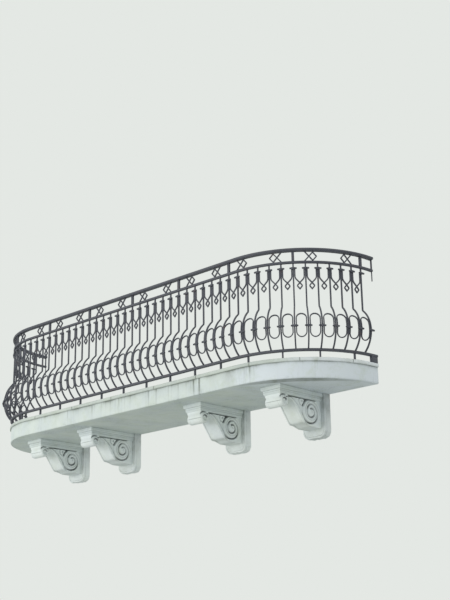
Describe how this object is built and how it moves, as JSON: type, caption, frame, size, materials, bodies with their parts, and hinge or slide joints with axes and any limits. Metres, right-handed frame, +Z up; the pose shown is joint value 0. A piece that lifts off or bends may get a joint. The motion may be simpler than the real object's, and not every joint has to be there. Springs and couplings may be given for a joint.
{
  "type": "wrought iron balcony",
  "caption": "Long balcony with quarter-round ends: a bellied wrought iron railing with rings and looped ribbons on a stone slab carried by scrolled corbels.",
  "frame": {"origin": "on the wall plane, in the middle of the balcony's length and half way up the slab's body", "axes": "+X to the right for someone who looks at the front, +Y into the wall, +Z up; the front looks along -Y"},
  "size_m": [5.01, 0.9928, 1.591],
  "materials": {
    "slab_stone": "weathered pale plaster over stone, with rain streaks and greenish algae",
    "corbel_stone": "carved pale stone with a thin worn paint coat",
    "rail_iron": "old dark charcoal paint, satin, with dust and a little rust",
    "bar_iron": "old dark charcoal paint on forged bars",
    "ornament_iron": "old dark charcoal paint on bent flat bars"
  },
  "bodies": {
    "root": {"slab": "slab_stone", "slab_lip": "slab_stone", "corbel_1": "corbel_stone", "corbel_2": "corbel_stone", "corbel_3": "corbel_stone", "corbel_4": "corbel_stone", "corbel_cap_1": "corbel_stone", "corbel_cap_2": "corbel_stone", "corbel_cap_3": "corbel_stone", "corbel_cap_4": "corbel_stone", "corbel_plate_1": "corbel_stone", "corbel_plate_2": "corbel_stone", "corbel_plate_3": "corbel_stone", "corbel_plate_4": "corbel_stone", "handrail_right": "rail_iron", "handrail_front": "rail_iron", "handrail_left": "rail_iron", "upper_rail_right": "rail_iron", "upper_rail_front": "rail_iron", "upper_rail_left": "rail_iron", "bottom_rail_right": "rail_iron", "bottom_rail_front": "rail_iron", "bottom_rail_left": "rail_iron", "wall_strap_right": "rail_iron", "wall_strap_left": "rail_iron", "rail_feet": "rail_iron", "frieze_posts": "rail_iron", "frieze_knots": "ornament_iron", "balusters_bay_1": "bar_iron", "balusters_bay_2": "bar_iron", "balusters_bay_3": "bar_iron", "balusters_bay_4": "bar_iron", "balusters_bay_5": "bar_iron", "balusters_bay_6": "bar_iron", "balusters_bay_7": "bar_iron", "balusters_bay_8": "bar_iron", "balusters_bay_9": "bar_iron", "rings_right": "ornament_iron", "rings_front": "ornament_iron", "rings_left": "ornament_iron", "ribbons_right": "ornament_iron", "ribbons_front": "ornament_iron", "ribbons_left": "ornament_iron", "belly_clasps": "ornament_iron", "top_clasps": "ornament_iron"}
  },
  "joints": []
}
